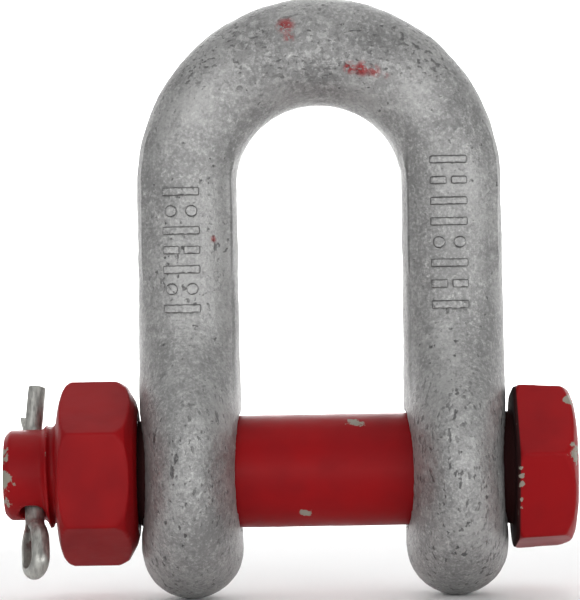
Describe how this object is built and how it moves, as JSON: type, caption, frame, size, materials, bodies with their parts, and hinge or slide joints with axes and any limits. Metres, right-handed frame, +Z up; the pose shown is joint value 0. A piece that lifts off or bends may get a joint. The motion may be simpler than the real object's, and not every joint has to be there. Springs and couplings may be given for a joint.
{
  "type": "bolt-type chain shackle",
  "caption": "Forged galvanised chain shackle with straight legs, closed by a red safety bolt, a thick hex nut and a split pin.",
  "frame": {"origin": "on the bolt's axis, midway between the two eyes", "axes": "+X along the bolt towards its head, +Y through the loop's opening towards the back, +Z up to the crown"},
  "size_m": [0.1426, 0.063, 0.149],
  "materials": {
    "galvanised_steel": "hot-dip galvanised, matt and slightly rough",
    "red_paint": "red enamel with chipped edges",
    "zinc_wire": "zinc-plated drawn wire"
  },
  "bodies": {
    "shackle_body": {"shackle_body": "galvanised_steel"},
    "bolt": {"bolt": "red_paint"},
    "nut": {"nut": "red_paint"},
    "cotter_pin": {"cotter_pin": "zinc_wire"}
  },
  "joints": [
    {"name": "bolt_turn", "type": "hinge", "parent": "shackle_body", "child": "bolt", "pos_m": [0, 0, 0], "axis": [1, 0, 0], "continuous": true},
    {"name": "nut_turn", "type": "hinge", "parent": "bolt", "child": "nut", "pos_m": [-0.0561, 0, 0], "axis": [1, 0, 0], "range_deg": [-200, 45]},
    {"name": "cotter_play", "type": "slide", "parent": "bolt", "child": "cotter_pin", "axis": [0.0523, -0.5439, -0.8375], "range_m": [-0.0012, 0]}
  ]
}
